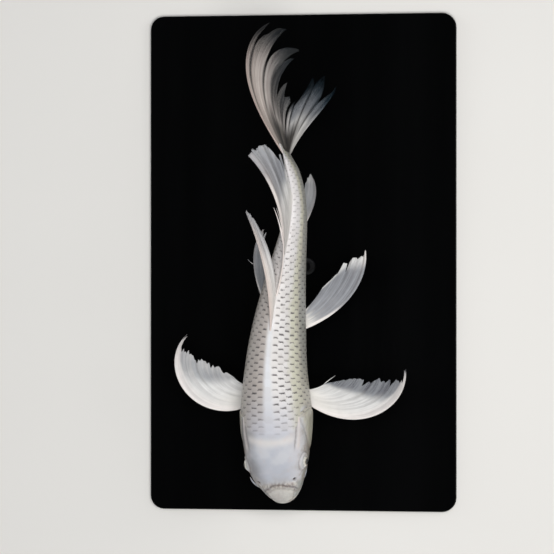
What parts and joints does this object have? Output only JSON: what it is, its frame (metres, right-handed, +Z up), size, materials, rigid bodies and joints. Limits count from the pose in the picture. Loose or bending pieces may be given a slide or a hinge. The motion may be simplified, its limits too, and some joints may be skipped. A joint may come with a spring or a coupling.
{
  "type": "koi carp model",
  "caption": "Life-size still model of a silver-white longfin koi carp, swimming with spread fins and a curved tail, held over a flat black base by short rods.",
  "frame": {"origin": "middle of the underside of the stand's base", "axes": "+Z up, snout along -Y, the fish's left side on +X"},
  "size_m": [0.32, 0.514, 0.2319],
  "materials": {
    "skin": "wet silver-white skin and scales with a dark grey net pattern, lilac-grey on the head, cream on the flanks",
    "fin": "translucent white membrane over fine branching rays, peach along the leading edges",
    "eye": "wet, clear over a dark pupil and a pale gold iris",
    "stand_base": "satin black lacquered board",
    "stand_rod": "black satin coated steel rod"
  },
  "bodies": {
    "root": {"head": "skin", "lower_jaw": "skin", "gill_cover_left": "skin", "gill_cover_right": "skin", "trunk_front": "skin", "trunk_rear": "skin", "tail_stalk": "skin", "barbel_upper_left": "skin", "barbel_upper_right": "skin", "barbel_corner_left": "skin", "barbel_corner_right": "skin", "pectoral_fin_left": "fin", "pectoral_fin_right": "fin", "pelvic_fin_left": "fin", "pelvic_fin_right": "fin", "anal_fin": "fin", "dorsal_fin_front": "fin", "dorsal_fin_rear": "fin", "caudal_fin_upper": "fin", "caudal_fin_lower": "fin", "eye_left": "eye", "eye_right": "eye", "stand_base": "stand_base", "stand_rod_front": "stand_rod", "stand_rod_rear": "stand_rod"}
  },
  "joints": []
}
